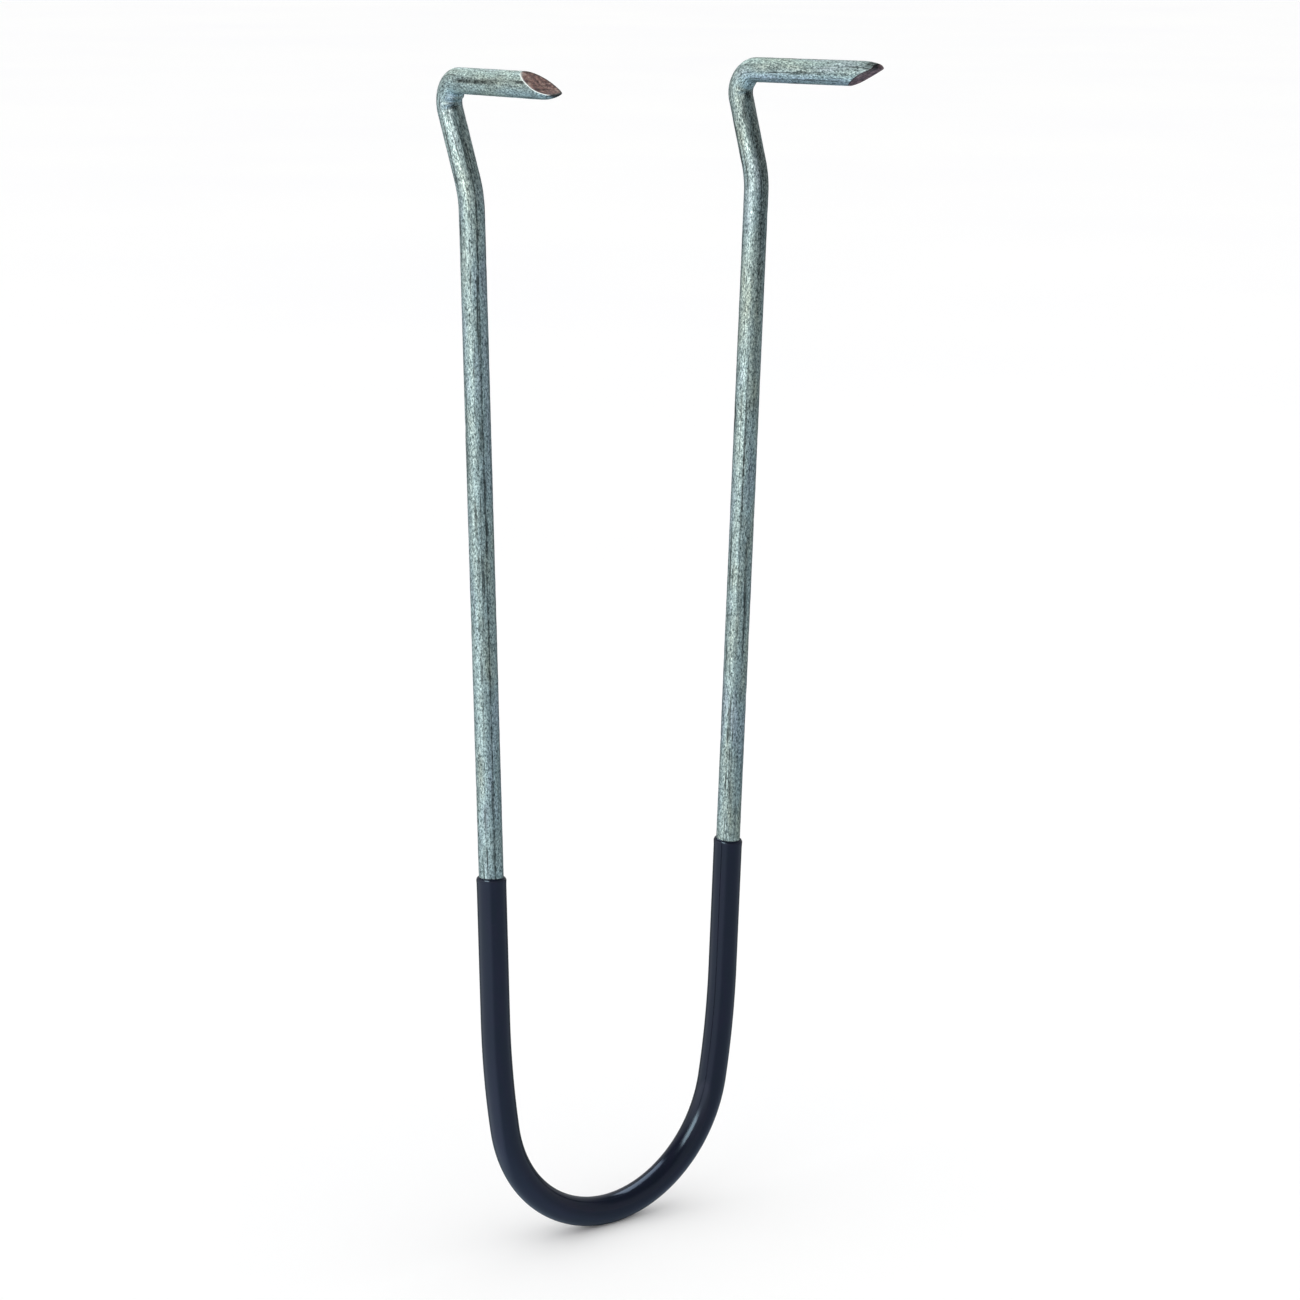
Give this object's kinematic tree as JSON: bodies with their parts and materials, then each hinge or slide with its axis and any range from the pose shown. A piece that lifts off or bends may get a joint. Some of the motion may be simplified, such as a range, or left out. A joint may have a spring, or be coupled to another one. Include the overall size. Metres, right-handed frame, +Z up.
{
  "type": "pipe hook",
  "caption": "Drive-in pipe hanger: a bent galvanised wire hook with a vinyl-coated U that cradles a pipe and two shear-cut points set square for driving into timber.",
  "frame": {"origin": "middle of the part's bounding box, at the lowest point of the U", "axes": "+Z runs up the legs, X runs across the U from leg to leg, and the points are set towards -Y"},
  "size_m": [0.0536, 0.0258, 0.1529],
  "materials": {
    "galvanised_steel": "dull galvanised wire with drawn streaks, bare rusty steel on the two cut faces",
    "vinyl": "satin-gloss dipped coating, blue-black"
  },
  "bodies": {
    "root": {"steel_wire": "galvanised_steel", "vinyl_coating": "vinyl"}
  },
  "joints": []
}
